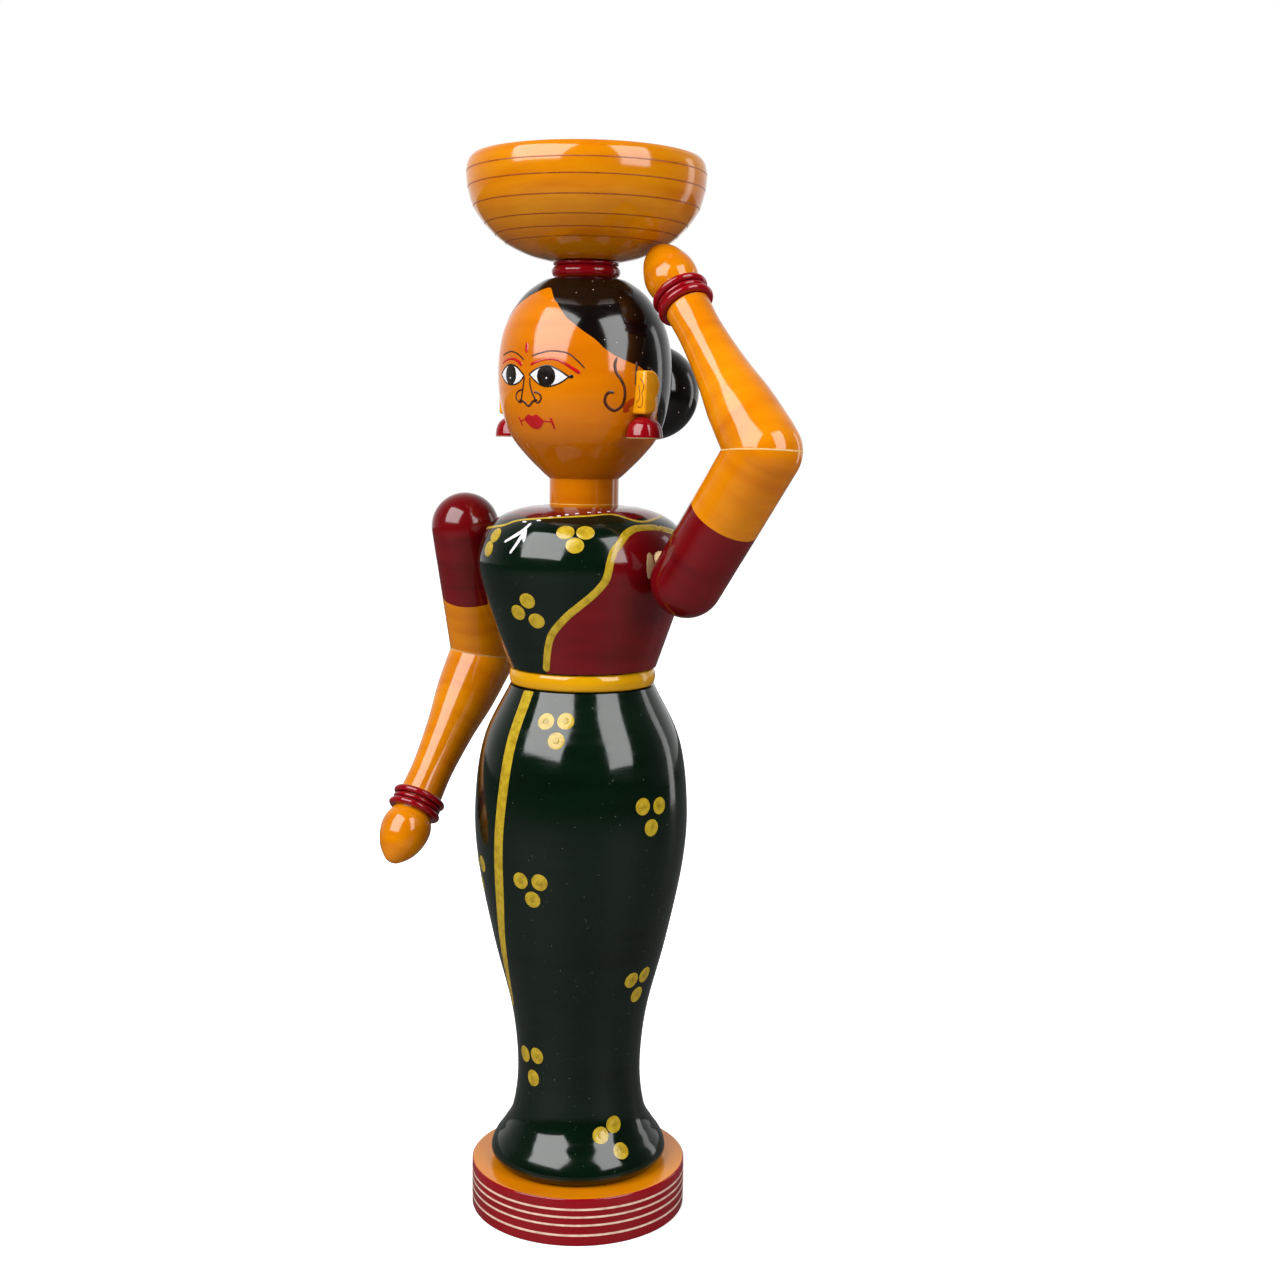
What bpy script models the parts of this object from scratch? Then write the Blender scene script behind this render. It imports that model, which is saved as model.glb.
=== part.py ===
"""A turned and lacquered wooden doll of a woman who carries a bowl on her head.

Frame: metres, +Z up, the origin under the base on the turning axis, the face towards -Y and her
left hand towards +X. Every dimension below is in millimetres and is turned into metres by MM.
"""
from math import cos, pi, radians, sin

import bmesh
import bpy
import numpy as np
from mathutils import Matrix, Vector

MM = 0.001
GAP = 0.3                       # clearance kept between neighbouring pieces
UP = Vector((0, 0, 1))
BIG_TURNING = 32                # facets round the body and the head
BOWL_TURNING = 36
SMALL_TURNING = 20              # facets round the arms, bangles and bun
DOWEL_TURNING = 12

# heights on the turning axis
BASE_TOP = 16.2
SKIRT_FOOT = BASE_TOP + GAP
SKIRT_TOP = 180.2
BELT_FOOT = SKIRT_TOP + GAP
BELT_TOP = 186.2
TORSO_FOOT = BELT_TOP + GAP
TORSO_TOP = 239.5
NECK_FOOT = TORSO_TOP + GAP
CHIN = 248.5
HEAD_TOP = 313.0
RING_FOOT = HEAD_TOP + GAP
RING_TOP = 318.3
BOWL_FOOT = RING_TOP + GAP
BOWL_RIM = 351.3

# turned radii
BASE_RADIUS = 36.4
BASE_EDGE = 0.6
HEM_RADIUS = 29.9
BELT_RADIUS = 24.3
NECK_RADIUS = 11.4
HEAD_RADIUS = 28.4
RING_RADIUS = 11.2
BOWL_RADIUS = 38.8
BOWL_FLOOR = 324.6
BOWL_FLOOR_RADIUS = 15.0

# dowels, pegs and tenons
BODY_DOWEL = 6.0
BOWL_DOWEL = 4.0
NECK_TENON = 7.0
NECK_TENON_FOOT = 222.0
PIN = 1.2
BUN_DOWEL = 3.0
PEG = 2.5
PEG_HEIGHT = 224.0
PEG_START = 20.0

# hair bun, ears and earrings, placed by distance from the axis and angle from the face
BUN_RADIUS = 16.3
BUN_REACH = 35.0
BUN_HEIGHT = 277.6
EAR_ANGLE = 82
EAR_HEIGHT = 276.3
EAR_INNER = 26.5
EAR_OUTER = 32.3
EAR_FRONT = 3.4                 # from the ear's middle to its flat front face
EARRING_ANGLE = 82
EARRING_REACH = 28.6
EARRING_RADIUS = 5.9
EARRING_FOOT = 261.8
EARRING_TALL = 7.2

# arms: the same turned pieces on both sides, mitred to different elbow bends
ARM_RADIUS = 11.5
UPPER_ARM = 51.0                # dome centre to elbow
FOREARM = 61.0                  # elbow to the middle bangle
HAND = 22.4                     # middle bangle to the hand's tip
ELBOW_DOWEL = 2.5
ELBOW_DOWEL_REACH = 7.0
WRIST_RADIUS = 6.6
WRIST_TENON = 2.8
WRIST_TENON_REACH = 7.0
BANGLES = ((1, -2.25, 1.15), (2, 0.0, 0.8), (3, 2.25, 1.15))   # number, place, half thickness
BANGLE_HALF = 3.7               # half the length of wrist that the bangles take
# side: shoulder angle from the face, dome distance and height, upper arm and forearm headings
ARMS = {
    "left": (85, 46.5, 217.6, (85, 53.5), (-103.3, 49.7)),
    "right": (-77.8, 46.2, 231.2, (-152.9, -65.0), (4.7, -53.8)),
}

COLOURS = {
    "skin": (0.72, 0.27, 0.01), "green": (0.008, 0.022, 0.012), "maroon": (0.13, 0.004, 0.012),
    "red": (0.26, 0.006, 0.02), "belt": (0.75, 0.42, 0.03), "black": (0.008, 0.006, 0.005),
    "bowl": (0.6, 0.2, 0.008), "wood": (0.62, 0.45, 0.26),
}


def clear_scene():
    for old in list(bpy.data.objects):
        bpy.data.objects.remove(old, do_unlink=True)


def lacquer(name):
    """A glossy lacquer of one of the named colours, or bare wood."""
    found = bpy.data.materials.get(name)
    if found:
        return found
    material = bpy.data.materials.new(name)
    material.use_nodes = True
    surface = material.node_tree.nodes["Principled BSDF"]
    surface.inputs["Base Color"].default_value = (*COLOURS[name], 1)
    surface.inputs["Roughness"].default_value = 0.6 if name == "wood" else 0.15
    surface.inputs["Metallic"].default_value = 0
    return material


def heading(angle, rise=0):
    """Unit vector at an angle from the face (-Y) towards her left (+X), and a rise above level."""
    level = cos(radians(rise))
    return Vector((sin(radians(angle)) * level, -cos(radians(angle)) * level, sin(radians(rise))))


def curve(points, steps):
    """Smooth outline through (radius, height) points, with so many steps from point to point."""
    points = [np.array(p, float) for p in points]
    ends = [2 * points[0] - points[1]] + points + [2 * points[-1] - points[-2]]
    outline = []
    for before, start, stop, after in zip(ends, ends[1:], ends[2:], ends[3:]):
        for step in range(steps):
            t = step / steps
            bend = (stop - before) * t + (2 * before - 5 * start + 4 * stop - after) * t ** 2
            bend = bend + (3 * start - before - 3 * stop + after) * t ** 3
            outline.append(tuple(start + bend / 2))
    return outline + [tuple(points[-1])]


def dome(radius, centre, start, stop, steps):
    """Arc of (radius, height) points, with its angles in degrees above level."""
    angles = [radians(start + (stop - start) * i / steps) for i in range(steps + 1)]
    return [(radius * cos(a), centre + radius * sin(a)) for a in angles]


def spun(outline, segments):
    """Closed bmesh turned about Z from an outline that runs from the axis back to the axis."""
    shape = bmesh.new()
    corners = [shape.verts.new((max(r, 0) * MM, 0, z * MM)) for r, z in outline]
    edges = [shape.edges.new(pair) for pair in zip(corners, corners[1:])]
    bmesh.ops.spin(shape, geom=corners + edges, cent=(0, 0, 0), axis=(0, 0, 1),
                   angle=2 * pi, steps=segments, use_merge=True)
    bmesh.ops.remove_doubles(shape, verts=shape.verts, dist=1e-7)
    bmesh.ops.recalc_face_normals(shape, faces=shape.faces)
    return shape


def torus(radius, tube, segments, sides):
    """Closed ring about Z."""
    shape = bmesh.new()
    angles = [2 * pi * i / sides for i in range(sides)]
    loop = [shape.verts.new(((radius + tube * cos(a)) * MM, 0, tube * sin(a) * MM)) for a in angles]
    edges = [shape.edges.new((loop[i - 1], loop[i])) for i in range(sides)]
    bmesh.ops.spin(shape, geom=loop + edges, cent=(0, 0, 0), axis=(0, 0, 1),
                   angle=2 * pi, steps=segments, use_merge=True)
    bmesh.ops.remove_doubles(shape, verts=shape.verts, dist=1e-7)
    bmesh.ops.recalc_face_normals(shape, faces=shape.faces)
    return shape


def mitre(shape, point, outward):
    """Cut away what lies beyond the plane and close the cut."""
    cut = bmesh.ops.bisect_plane(shape, geom=shape.verts[:] + shape.edges[:] + shape.faces[:],
                                 plane_co=point, plane_no=outward, clear_outer=True)
    rim = [e for e in cut["geom_cut"] if isinstance(e, bmesh.types.BMEdge)]
    bmesh.ops.edgenet_fill(shape, edges=rim)
    bmesh.ops.recalc_face_normals(shape, faces=shape.faces)
    return shape


def pose(point, direction=UP):
    """World matrix of a piece whose local Z points along a direction, with its origin in mm."""
    turn = UP.rotation_difference(Vector(direction)).to_matrix().to_4x4()
    return Matrix.Translation(Vector(point) * MM) @ turn


def piece(name, colour, shape, where=Matrix(), parent=None):
    """Turn a bmesh into a named object at its world place, under its pivot if it has one."""
    mesh = bpy.data.meshes.new(name)
    shape.to_mesh(mesh)
    shape.free()
    mesh.shade_smooth()
    mesh.set_sharp_from_angle(angle=radians(35))
    made = bpy.data.objects.new(name, mesh)
    made.data.materials.append(lacquer(colour))
    bpy.context.collection.objects.link(made)
    if parent:
        made.parent = parent
        made.matrix_local = parent.matrix_basis.inverted() @ where
    else:
        made.matrix_local = where
    return made


def pivot(name, point):
    """Empty on a joint's axis that carries one moving body."""
    empty = bpy.data.objects.new(name, None)
    empty.location = Vector(point) * MM
    bpy.context.collection.objects.link(empty)
    return empty


def bored(target, cutter):
    """Cut a hidden tool out of a piece."""
    cutter.hide_render = True
    cutter.display_type = "WIRE"
    cut = target.modifiers.new(cutter.name, "BOOLEAN")
    cut.operation = "DIFFERENCE"
    cut.solver = "EXACT"
    cut.object = cutter


def rod(radius, length):
    """Plain dowel along Z, starting at its origin."""
    return spun([(0, 0), (radius, 0), (radius, length), (0, length)], DOWEL_TURNING)


def socket(targets, name, radius, where, length, parent=None):
    """Blind or through hole with clearance round a dowel and past its far end."""
    cutter = piece(name, "wood", rod(radius + GAP, length), where, parent)
    for target in targets:
        bored(target, cutter)


def head_outline(grow=0.0):
    """Skull from the chin to the crown; grow makes the tool that fits pieces against it."""
    side = curve([(13.2, 250.0), (19.2, 256.0), (24.2, 262.5), (27.2, 271.0), (HEAD_RADIUS, 281.0),
                  (27.6, 292.0), (25.0, 300.0), (20.0, 307.5), (14.0, 312.0), (10.6, HEAD_TOP)], 2)
    return [(r + grow, z) for r, z in side]


def make_base():
    edge = BASE_RADIUS - BASE_EDGE
    outline = [(0, 0), (edge, 0), (BASE_RADIUS, BASE_EDGE), (BASE_RADIUS, BASE_TOP - 2 * BASE_EDGE),
               (BASE_RADIUS - 0.2, BASE_TOP - BASE_EDGE), (edge, BASE_TOP), (0, BASE_TOP)]
    return piece("base_disc", "red", spun(outline, BOWL_TURNING))


def make_skirt():
    hem = [(28.0, SKIRT_FOOT + 0.4), (29.3, 18.3), (HEM_RADIUS, 20.1), (28.6, 23.7)]
    rise = curve([(25.7, 27.9), (22.4, 34.5), (20.9, 49.0), (22.9, 69.0), (29.2, 94.0),
                  (34.6, 121.0), (35.6, 141.0), (32.7, 162.0), (24.1, SKIRT_TOP)], 2)
    outline = [(0, SKIRT_FOOT), (26.8, SKIRT_FOOT)] + hem + rise + [(0, SKIRT_TOP)]
    return piece("skirt", "green", spun(outline, BIG_TURNING))


def make_belt():
    middle = (BELT_FOOT + BELT_TOP) / 2
    side = [(BELT_RADIUS - 0.5, BELT_FOOT), (BELT_RADIUS, middle), (BELT_RADIUS - 0.2, BELT_TOP)]
    return piece("waist_belt", "belt", spun([(0, BELT_FOOT)] + side + [(0, BELT_TOP)], BIG_TURNING))


def make_torso():
    side = curve([(24.5, TORSO_FOOT), (28.3, 197.5), (32.3, 209.5), (34.9, 221.0), (34.3, 229.5),
                  (30.6, 235.0), (24.5, 237.8), (17.5, 239.2)], 2)
    outline = [(0, TORSO_FOOT)] + side + [(12.5, TORSO_TOP), (0, TORSO_TOP)]
    return piece("torso", "green", spun(outline, BIG_TURNING))


def make_head(parent):
    tenon = [(0, NECK_TENON_FOOT), (NECK_TENON, NECK_TENON_FOOT), (NECK_TENON, NECK_FOOT)]
    neck = [(NECK_RADIUS, NECK_FOOT), (NECK_RADIUS, CHIN)]
    outline = tenon + neck + head_outline() + [(0, HEAD_TOP)]
    return piece("head", "skin", spun(outline, BIG_TURNING), parent=parent)


def make_head_ring(parent):
    bead = dome(1.9, 315.2, -80, 70, 4)
    side = [(RING_RADIUS - 1.9 + r, z) for r, z in bead]
    small = [(RING_RADIUS - 0.9, 317.3), (RING_RADIUS - 0.5, 317.7), (RING_RADIUS - 0.8, RING_TOP)]
    outline = [(0, RING_FOOT)] + side + small + [(0, RING_TOP)]
    return piece("head_ring", "red", spun(outline, BIG_TURNING), parent=parent)


def make_bowl(parent):
    outer = curve([(11.5, BOWL_FOOT), (18.3, 320.3), (26.2, 324.0), (32.2, 329.2), (36.4, 335.0),
                   (38.3, 341.0), (BOWL_RADIUS, 346.0), (38.2, 349.4)], 1)
    rim = [(37.0, BOWL_RIM - 0.3), (36.2, BOWL_RIM), (35.2, BOWL_RIM - 0.3)]
    inner = curve([(34.6, 349.0), (34.4, 342.0), (32.4, 336.0), (27.8, 330.2), (21.5, 326.2),
                   (BOWL_FLOOR_RADIUS, BOWL_FLOOR)], 1)
    outline = [(0, BOWL_FOOT)] + outer + rim + inner + [(0, BOWL_FLOOR)]
    return piece("bowl", "bowl", spun(outline, BOWL_TURNING), parent=parent)


def make_head_tool(parent):
    """Slightly larger skull that the bun, ears and earrings are shaped against."""
    outline = [(0, 250)] + head_outline(GAP) + [(0, HEAD_TOP)]
    return piece("tool_skull", "wood", spun(outline, BIG_TURNING), parent=parent)


def make_bun(parent, tool):
    where = pose(heading(180) * BUN_REACH + UP * BUN_HEIGHT, heading(180))
    bun = piece("hair_bun", "black", spun(dome(BUN_RADIUS, 0, -90, 90, 10), SMALL_TURNING), where, parent)
    bored(bun, tool)
    return bun


def ear_outline():
    """Closed outline of the ear block, (across, up), flat in front and scalloped behind."""
    front = [(-EAR_FRONT, -6.9), (-EAR_FRONT, 6.7)]
    back = curve([(0.5, 6.8), (2.6, 5.2), (3.5, 2.2), (2.8, -0.6), (1.9, -2.2), (2.2, -4.0),
                  (1.2, -6.0), (-1.0, -6.9)], 2)
    return front + back


def make_ear(side, sign, parent, tool):
    """Carved block that stands out from the head; 'across' runs to the back of the head."""
    shape = bmesh.new()
    corners = [shape.verts.new((0, across * MM, up * MM)) for across, up in ear_outline()]
    face = shape.faces.new(corners)
    grown = bmesh.ops.extrude_face_region(shape, geom=[face])["geom"]
    moved = [v for v in grown if isinstance(v, bmesh.types.BMVert)]
    bmesh.ops.translate(shape, verts=moved, vec=(sign * (EAR_OUTER - EAR_INNER) * MM, 0, 0))
    bmesh.ops.recalc_face_normals(shape, faces=shape.faces)
    turn = Matrix.Rotation(radians(-sign * (90 - EAR_ANGLE)), 4, "Z")
    place = Matrix.Translation((heading(sign * EAR_ANGLE) * EAR_INNER + UP * EAR_HEIGHT) * MM) @ turn
    ear = piece(f"ear_{side}", "skin", shape, place, parent)
    bored(ear, tool)
    return ear


def make_earring(side, sign, parent, tool):
    """Small bell-shaped drop with a flat foot."""
    drop = [(EARRING_RADIUS, 0), (EARRING_RADIUS, 1.0), (5.6, 2.9), (4.7, 4.9), (2.9, 6.4)]
    knob = [(1.5, 6.9), (0, EARRING_TALL)]
    where = pose(heading(sign * EARRING_ANGLE) * EARRING_REACH + UP * EARRING_FOOT)
    earring = piece(f"earring_{side}", "red", spun([(0, 0)] + drop + knob, SMALL_TURNING), where, parent)
    bored(earring, tool)
    return earring


def pinned(name, direction, start, stop, height, radius, targets, parent=None):
    """Level dowel between two pieces, with its sockets."""
    where = pose(direction * start + UP * height, direction)
    piece(name, "wood", rod(radius, stop - start), where, parent)
    hole = pose(direction * (start - GAP) + UP * height, direction)
    socket(targets, f"tool_{name}", radius, hole, stop - start + 2 * GAP, parent)


def make_head_group():
    neck = pivot("head_pivot", (0, 0, TORSO_TOP))
    head = make_head(neck)
    tool = make_head_tool(neck)
    ring = make_head_ring(neck)
    bowl = make_bowl(neck)
    foot, top = 300.0, BOWL_FOOT + 3.4
    piece("bowl_dowel", "wood", rod(BOWL_DOWEL, top - foot), pose(UP * foot), neck)
    socket([head, ring, bowl], "tool_bowl_dowel", BOWL_DOWEL, pose(UP * (foot - GAP)),
           top - foot + 2 * GAP, neck)
    bun = make_bun(neck, tool)
    pinned("bun_dowel", heading(180), 18, 41, BUN_HEIGHT, BUN_DOWEL, [head, bun], neck)
    for side, sign in (("left", 1), ("right", -1)):
        ear = make_ear(side, sign, neck, tool)
        pinned(f"ear_pin_{side}", heading(sign * EAR_ANGLE), 21, 30, EAR_HEIGHT, PIN, [head, ear], neck)
        drop = make_earring(side, sign, neck, tool)
        pinned(f"earring_pin_{side}", heading(sign * EARRING_ANGLE), 18, 29.5, EARRING_FOOT + 2.6,
               PIN, [head, drop], neck)


def make_upper_arm(side, dome_at, along, point, normal, parent):
    """Arm turned with two round ends, the lower one cut to the elbow's mitre plane."""
    outline = dome(ARM_RADIUS, 0, -90, 0, 5) + dome(ARM_RADIUS, UPPER_ARM, 0, 90, 5)
    where = pose(dome_at, along)
    inside = where.inverted()
    shape = mitre(spun(outline, SMALL_TURNING), inside @ (point * MM), inside.to_3x3() @ normal)
    return piece(f"upper_arm_{side}", "maroon", shape, where, parent)


def make_forearm(side, elbow, along, point, normal, parent):
    """Tapered forearm from its round end, cut to the mitre plane, to the bangles."""
    side_line = curve([(ARM_RADIUS, 4.0), (10.4, 17.5), (8.4, 31.0), (7.1, 46.0),
                       (7.2, FOREARM - BANGLE_HALF)], 1)
    outline = dome(ARM_RADIUS, 0, -90, 0, 5) + side_line + [(0, FOREARM - BANGLE_HALF)]
    where = pose(elbow, along)
    inside = where.inverted()
    shape = mitre(spun(outline, SMALL_TURNING), inside @ (point * MM), inside.to_3x3() @ -normal)
    return piece(f"forearm_{side}", "skin", shape, where, parent)


def make_hand(side, where, parent):
    """Egg-shaped hand with the wrist that carries the bangles and a tenon into the forearm."""
    foot = -BANGLE_HALF - WRIST_TENON_REACH
    wrist = [(0, foot), (WRIST_TENON, foot), (WRIST_TENON, GAP - BANGLE_HALF),
             (WRIST_RADIUS, GAP - BANGLE_HALF), (WRIST_RADIUS, BANGLE_HALF)]
    egg = curve([(7.0, BANGLE_HALF + 0.2), (8.3, 7.5), (8.2, 12.0), (6.2, 17.4), (2.6, 21.4),
                 (0, HAND)], 1)
    return piece(f"hand_{side}", "skin", spun(wrist + egg, SMALL_TURNING), where, parent)


def make_arm(side, torso):
    angle, reach, height, upper, lower = ARMS[side]
    dome_at = heading(angle) * reach + UP * height
    along, onward = heading(*upper), heading(*lower)
    elbow = dome_at + along * UPPER_ARM
    normal = (along + onward).normalized()
    on_axis = dome_at + along * (PEG_HEIGHT - height) / along.z
    outward = Vector((on_axis.x, on_axis.y, 0)).normalized()
    shoulder = pivot(f"{side}_shoulder_pivot", on_axis)

    sleeve = make_upper_arm(side, dome_at, along, elbow - normal * GAP / 2, normal, shoulder)
    forearm = make_forearm(side, elbow, onward, elbow + normal * GAP / 2, normal, shoulder)
    wrist = pose(elbow + onward * FOREARM, onward)
    make_hand(side, wrist, shoulder)
    tenon = wrist @ Matrix.Translation((0, 0, (-BANGLE_HALF - WRIST_TENON_REACH - GAP) * MM))
    socket([forearm], f"tool_wrist_{side}", WRIST_TENON, tenon, WRIST_TENON_REACH + 2, shoulder)
    for number, place, half in BANGLES:
        ring = torus(WRIST_RADIUS + GAP + half, half, SMALL_TURNING, 6)
        at = wrist @ Matrix.Translation((0, 0, place * MM))
        piece(f"bangle_{side}_{number}", "red", ring, at, shoulder)

    start = elbow - normal * ELBOW_DOWEL_REACH
    piece(f"elbow_dowel_{side}", "wood", rod(ELBOW_DOWEL, 2 * ELBOW_DOWEL_REACH),
          pose(start, normal), shoulder)
    socket([sleeve, forearm], f"tool_elbow_{side}", ELBOW_DOWEL, pose(start - normal * GAP, normal),
           2 * (ELBOW_DOWEL_REACH + GAP), shoulder)

    peg_end = on_axis.xy.length + 3
    peg = pose(outward * PEG_START + UP * PEG_HEIGHT, outward)
    piece(f"shoulder_peg_{side}", "wood", rod(PEG, peg_end - PEG_START), peg)
    hole = pose(outward * (PEG_START - GAP) + UP * PEG_HEIGHT, outward)
    socket([torso, sleeve], f"tool_peg_{side}", PEG, hole, peg_end - PEG_START + 2 * GAP)


def make_body():
    base = make_base()
    skirt = make_skirt()
    belt = make_belt()
    torso = make_torso()
    low, high = 5.0, 36.0
    piece("base_dowel", "wood", rod(BODY_DOWEL, high - low), pose(UP * low))
    socket([base, skirt], "tool_base_dowel", BODY_DOWEL, pose(UP * (low - GAP)), high - low + 2 * GAP)
    low, high = 162.0, 204.0
    piece("waist_dowel", "wood", rod(BODY_DOWEL, high - low), pose(UP * low))
    socket([skirt, belt, torso], "tool_waist_dowel", BODY_DOWEL, pose(UP * (low - GAP)),
           high - low + 2 * GAP)
    neck_hole = pose(UP * (NECK_TENON_FOOT - GAP))
    socket([torso], "tool_neck", NECK_TENON, neck_hole, TORSO_TOP - NECK_TENON_FOOT + 2)
    return torso


clear_scene()
body_torso = make_body()
make_head_group()
for arm_side in ARMS:
    make_arm(arm_side, body_torso)
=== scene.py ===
"""Looks of a turned, lacquered and hand-painted wooden doll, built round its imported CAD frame.

Every piece repeats the CAD's outer dimensions, in millimetres, with finer turning, but the torso's
shoulders and the belt's edges are turned a little rounder than there. Paint is laid on as thin raised
enamel: strokes, dots, patches and bands that follow the turned surfaces. Places on those surfaces are
(angle from the face towards her left, in degrees; height, in millimetres).
"""

from math import cos, pi, radians, sin, sqrt

import bmesh
import bpy
import numpy as np
from mathutils import Matrix, Vector


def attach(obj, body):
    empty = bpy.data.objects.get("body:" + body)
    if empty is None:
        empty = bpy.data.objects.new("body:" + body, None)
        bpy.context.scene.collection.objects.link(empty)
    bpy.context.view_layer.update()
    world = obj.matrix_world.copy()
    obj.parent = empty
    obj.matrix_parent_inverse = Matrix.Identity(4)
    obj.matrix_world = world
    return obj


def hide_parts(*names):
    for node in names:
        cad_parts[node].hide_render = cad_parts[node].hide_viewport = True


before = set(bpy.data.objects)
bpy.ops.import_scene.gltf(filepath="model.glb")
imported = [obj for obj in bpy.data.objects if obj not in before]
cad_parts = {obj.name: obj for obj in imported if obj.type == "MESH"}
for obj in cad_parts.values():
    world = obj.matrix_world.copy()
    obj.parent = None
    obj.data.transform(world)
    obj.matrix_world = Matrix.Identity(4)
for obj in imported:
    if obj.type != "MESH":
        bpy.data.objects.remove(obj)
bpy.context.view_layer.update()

MM = 0.001
UP = Vector((0, 0, 1))
FINE = 144                      # facets round a turned piece
SMALL = 96                      # facets round a small one
COAT = 0.06                     # how far one coat of paint stands above the one under it
SUNK = -0.08                    # how deep the hidden underside of a paint shell lies

# the arms, as in the CAD: shoulder angle, dome distance and height, upper arm and forearm headings
ARMS = {
    "left": (85, 46.5, 217.6, (85, 53.5), (-103.3, 49.7)),
    "right": (-77.8, 46.2, 231.2, (-152.9, -65.0), (4.7, -53.8)),
}
ARM_RADIUS = 11.5
UPPER_ARM = 51.0
FOREARM = 61.0
HAND = 22.4
SLEEVE = 25.6                   # maroon sleeve, from the dome's centre
WRIST_RADIUS = 6.6
BANGLE_HALF = 3.7
BANGLES = ((1, -2.25, 1.15), (2, 0.0, 0.8), (3, 2.25, 1.15))
GAP = 0.3


# ---------------------------------------------------------------- shapes

def heading(angle, rise=0):
    """Unit vector at an angle from the face (-Y) towards her left (+X), and a rise above level."""
    level = cos(radians(rise))
    return Vector((sin(radians(angle)) * level, -cos(radians(angle)) * level, sin(radians(rise))))


def pose(point, direction=UP):
    """World matrix of a piece whose local Z points along a direction, with its origin in mm."""
    turn = UP.rotation_difference(Vector(direction)).to_matrix().to_4x4()
    return Matrix.Translation(Vector(point) * MM) @ turn


def curve(points, steps=8):
    """Smooth line through 2-D points, with so many steps from point to point."""
    points = [np.array(p, float) for p in points]
    ends = [2 * points[0] - points[1]] + points + [2 * points[-1] - points[-2]]
    line = []
    for before, start, stop, after in zip(ends, ends[1:], ends[2:], ends[3:]):
        for step in range(steps):
            t = step / steps
            bend = (stop - before) * t + (2 * before - 5 * start + 4 * stop - after) * t ** 2
            bend = bend + (3 * start - before - 3 * stop + after) * t ** 3
            line.append(tuple(start + bend / 2))
    return line + [tuple(points[-1])]


def arc(radius, centre, start, stop, steps=12, axis=0.0):
    """Arc of (radius, height) points round a centre, with its angles in degrees above level."""
    angles = [radians(start + (stop - start) * i / steps) for i in range(steps + 1)]
    return [(axis + radius * cos(a), centre + radius * sin(a)) for a in angles]


def spun(outline, segments=FINE):
    """Closed bmesh turned about Z from an outline that runs from the axis back to the axis."""
    shape = bmesh.new()
    corners = [shape.verts.new((max(r, 0) * MM, 0, z * MM)) for r, z in outline]
    edges = [shape.edges.new(pair) for pair in zip(corners, corners[1:])]
    bmesh.ops.spin(shape, geom=corners + edges, cent=(0, 0, 0), axis=(0, 0, 1),
                   angle=2 * pi, steps=segments, use_merge=True)
    bmesh.ops.remove_doubles(shape, verts=shape.verts, dist=1e-7)
    bmesh.ops.recalc_face_normals(shape, faces=shape.faces)
    return shape


def tube(shape, loops, closed=False):
    """Add faces between closed loops of points (mm): a capped tube, or a ring if it is closed."""
    rows = [[shape.verts.new(Vector(p) * MM) for p in loop] for loop in loops]
    pairs = list(zip(rows, rows[1:])) + ([(rows[-1], rows[0])] if closed else [])
    for row, after in pairs:
        for i in range(len(row)):
            shape.faces.new((row[i - 1], row[i], after[i], after[i - 1]))
    if not closed:
        shape.faces.new(rows[0])
        shape.faces.new(rows[-1])


def mitre(shape, point, outward):
    """Cut away what lies beyond the plane and close the cut."""
    cut = bmesh.ops.bisect_plane(shape, geom=shape.verts[:] + shape.edges[:] + shape.faces[:],
                                 plane_co=point, plane_no=outward, clear_outer=True)
    rim = [e for e in cut["geom_cut"] if isinstance(e, bmesh.types.BMEdge)]
    bmesh.ops.edgenet_fill(shape, edges=rim)
    bmesh.ops.recalc_face_normals(shape, faces=shape.faces)
    return shape


def piece(name, shape, look, body, nodes=(), where=None, smooth=35, rounded=0):
    """Make an object of a bmesh, ride it on its body and let it stand for its CAD nodes."""
    mesh = bpy.data.meshes.new(name)
    shape.to_mesh(mesh)
    shape.free()
    mesh.shade_smooth()
    mesh.set_sharp_from_angle(angle=radians(smooth))
    made = bpy.data.objects.new(name, mesh)
    for material in look if isinstance(look, tuple) else (look,):
        mesh.materials.append(material)
    bpy.context.scene.collection.objects.link(made)
    if where is not None:
        made.matrix_world = where
    if rounded:
        bevel = made.modifiers.new("soft_edges", "BEVEL")
        bevel.width = rounded * MM
        bevel.segments = 3
        bevel.angle_limit = radians(40)
    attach(made, body)
    if nodes:
        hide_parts(*nodes)
    return made


class Side:
    """The side of a turned piece, from (radius, height) points that rise, to lay paint on."""

    def __init__(self, outline):
        line = np.array(outline, float)
        self.radii, self.heights = line.T
        self.lengths = np.concatenate([[0], np.cumsum(np.hypot(*np.diff(line, axis=0).T))])
        slopes = np.gradient(line, self.lengths, axis=0)
        self.out, self.rise = slopes.T

    def along(self, height):
        """Length along the outline at a height."""
        return float(np.interp(height, self.heights, self.lengths))

    def point(self, angle, along, lift=0.0):
        """Point at an angle and a length along the outline, lifted off the surface."""
        radius, height, out, rise = (np.interp(along, self.lengths, values) for values in
                                     (self.radii, self.heights, self.out, self.rise))
        size = sqrt(out * out + rise * rise)
        radius = radius + lift * rise / size
        return Vector((radius * sin(radians(angle)), -radius * cos(radians(angle)),
                       height - lift * out / size))

    def radius(self, along):
        return float(np.interp(along, self.lengths, self.radii))


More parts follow.
